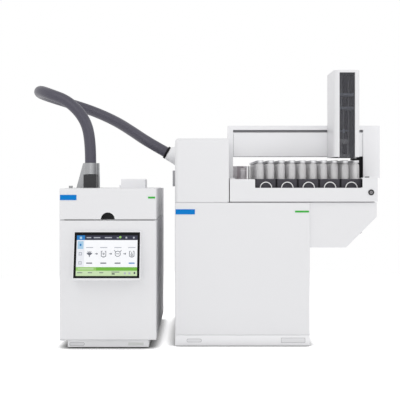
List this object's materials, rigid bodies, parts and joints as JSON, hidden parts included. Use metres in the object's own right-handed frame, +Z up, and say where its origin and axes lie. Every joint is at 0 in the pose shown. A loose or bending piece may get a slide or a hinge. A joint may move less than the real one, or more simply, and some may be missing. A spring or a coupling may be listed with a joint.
{
  "type": "gas chromatograph with headspace sampler",
  "caption": "Bench gas chromatograph with a touch screen door, joined by a heated transfer line to a headspace sampler with a gantry over racks of vials.",
  "frame": {"origin": "on the bench, under the middle of the box around both cabinets, without the transfer line", "axes": "+X to the right as seen from the front, +Y to the back, +Z up"},
  "size_m": [1.1866, 0.6219, 0.871],
  "materials": {
    "cabinet_white": "moulded ABS, fine satin grain",
    "casing_grey": "powder coated sheet steel",
    "plinth_grey": "powder coated sheet steel",
    "stainless": "brushed stainless sheet",
    "aluminium": "satin anodised",
    "oven_wool": "pressed ceramic wool",
    "rope_seal": "braided glass rope",
    "rubber": "moulded rubber",
    "line_sheath": "ribbed silicone sheath",
    "black_enamel": "black coated aluminium",
    "screen": "black edged touch glass",
    "smoked_glass": "smoked acrylic",
    "vial_glass": "clear glass with crimped caps",
    "rack_plastic": "dark moulded plastic",
    "station_plastic": "grey moulded plastic",
    "column": "polyimide coated silica",
    "heater_wire": "oxidised resistance wire",
    "brass": "turned brass",
    "circuit": "circuit board",
    "motor_grey": "painted motor can",
    "accent_blue": "plain blue plate",
    "accent_green": "plain green status bar",
    "button_dark": "dark push button"
  },
  "bodies": {
    "cabinets": {"base_plinth": "plinth_grey", "rubber_feet": "rubber", "body_shell": "casing_grey", "rear_panel": "casing_grey", "top_cover": "cabinet_white", "hinge_brackets": "stainless", "oven_insulation": "oven_wool", "oven_liner": "stainless", "fan_shroud": "stainless", "fan_motor": "motor_grey", "heater_coil": "heater_wire", "column_basket": "stainless", "column_coil": "column", "inlet_body": "stainless", "detector_body": "stainless", "detector_cover": "cabinet_white", "line_block": "black_enamel", "line_bracket": "aluminium", "gas_fittings": "brass", "mains_inlet": "rubber", "control_board": "circuit", "service_knobs": "rack_plastic", "badge_plates": "accent_blue", "status_bars": "accent_green", "transfer_line": "line_sheath", "line_boot": "cabinet_white", "line_collar": "rack_plastic", "side_cover": "plinth_grey", "sampler_base": "cabinet_white", "sampler_front_panel": "cabinet_white", "sampler_shell": "casing_grey", "sampler_oven_cover": "cabinet_white", "overhang_housing": "cabinet_white", "tray_body": "cabinet_white", "tray_front": "cabinet_white", "vial_station": "station_plastic", "vial_rack_1": "rack_plastic", "vials_1": "vial_glass", "vial_rack_2": "rack_plastic", "vials_2": "vial_glass", "vial_rack_3": "rack_plastic", "vials_3": "vial_glass", "vial_rack_4": "rack_plastic", "vials_4": "vial_glass", "vial_rack_5": "rack_plastic", "vials_5": "vial_glass"},
    "oven_door": {"oven_door": "cabinet_white", "door_liner": "stainless", "door_gasket": "rope_seal", "screen_housing": "cabinet_white", "screen_glass": "screen"},
    "oven_fan": {"fan_impeller": "stainless"},
    "bridge": {"bridge_frame": "cabinet_white", "code_reader": "black_enamel"},
    "tower": {"tower_shell": "cabinet_white", "tower_window": "smoked_glass", "lift_guides": "stainless"},
    "gripper": {"lift_carriage": "aluminium", "gripper_fingers": "aluminium"},
    "park_button": {"park_button": "button_dark"}
  },
  "joints": [
    {"name": "oven_door_hinge", "type": "hinge", "parent": "cabinets", "child": "oven_door", "pos_m": [-0.511, -0.263, 0.2125], "axis": [0, 0, 1], "range_deg": [-110, 0]},
    {"name": "oven_fan_spin", "type": "hinge", "parent": "cabinets", "child": "oven_fan", "pos_m": [-0.367, -0.03, 0.217], "axis": [0, 1, 0], "continuous": true},
    {"name": "bridge_travel", "type": "slide", "parent": "cabinets", "child": "bridge", "axis": [0, 1, 0], "range_m": [-0.034, 0.34]},
    {"name": "tower_travel", "type": "slide", "parent": "bridge", "child": "tower", "axis": [1, 0, 0], "range_m": [-0.3196, 0.034]},
    {"name": "gripper_lift", "type": "slide", "parent": "tower", "child": "gripper", "axis": [0, 0, 1], "range_m": [-0.026, 0.06]},
    {"name": "park_button_press", "type": "slide", "parent": "cabinets", "child": "park_button", "axis": [0, 1, 0], "range_m": [0, 0.002], "stiffness_N_per_m": 400}
  ]
}
